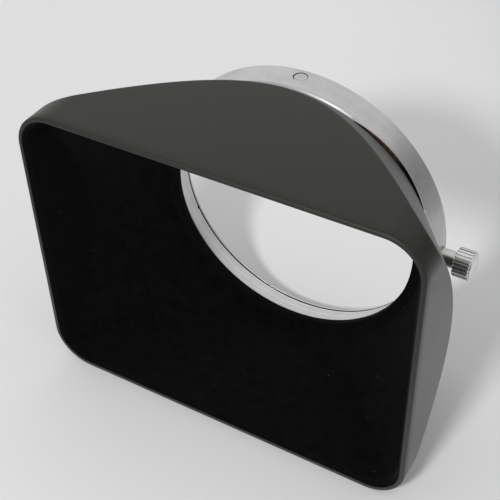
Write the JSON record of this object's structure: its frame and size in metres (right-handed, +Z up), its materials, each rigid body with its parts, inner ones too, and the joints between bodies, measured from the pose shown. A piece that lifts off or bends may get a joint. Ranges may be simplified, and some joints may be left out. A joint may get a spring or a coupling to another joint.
{
  "type": "lens hood",
  "caption": "Black rectangular lens hood that clamps onto a lens barrel: flocked shell, plated ring with a spring band, and a knurled thumbscrew.",
  "frame": {"origin": "on the optical axis, halfway along the spring band that grips the lens barrel", "axes": "+Y along the optical axis towards the lens, so the rectangular front opens towards -Y; +X towards the thumbscrew; +Z up, with the long side of the opening level"},
  "size_m": [0.0822, 0.0381, 0.0646],
  "materials": {
    "black_paint": "satin",
    "black_flock": "matte flock",
    "satin_chrome": "satin",
    "screw_steel": "plain",
    "band_metal": "satin",
    "rivet_metal": "satin",
    "knob_chrome": "polished",
    "stud_chrome": "polished",
    "pad_brass": "plain"
  },
  "bodies": {
    "hood": {"hood_shell": "black_paint", "flock_lining": "black_flock", "mount_ring": "satin_chrome", "flange_screws": "screw_steel", "band_rivet": "rivet_metal"},
    "pad": {"pressure_pad": "pad_brass"},
    "thumbscrew": {"thumbscrew_knob": "knob_chrome", "thumbscrew_stud": "stud_chrome"},
    "band": {"spring_band": "band_metal"}
  },
  "joints": [
    {"name": "screw_advance", "type": "slide", "parent": "hood", "child": "pad", "axis": [-1, 0, 0], "range_m": [-0.0005, 0.0007]},
    {"name": "screw_turn", "type": "hinge", "parent": "pad", "child": "thumbscrew", "pos_m": [0.03, 0, 0], "axis": [-1, 0, 0], "range_deg": [-361, 505]},
    {"name": "band_squeeze", "type": "hinge", "parent": "hood", "child": "band", "pos_m": [0, 0, 0.02905], "axis": [0, 1, 0], "range_deg": [-1, 1.4]}
  ],
  "couplings": [
    {"joint": "screw_turn", "follows": "screw_advance", "rad_per_m": 12566},
    {"joint": "band_squeeze", "follows": "screw_advance", "rad_per_m": 34.423}
  ]
}
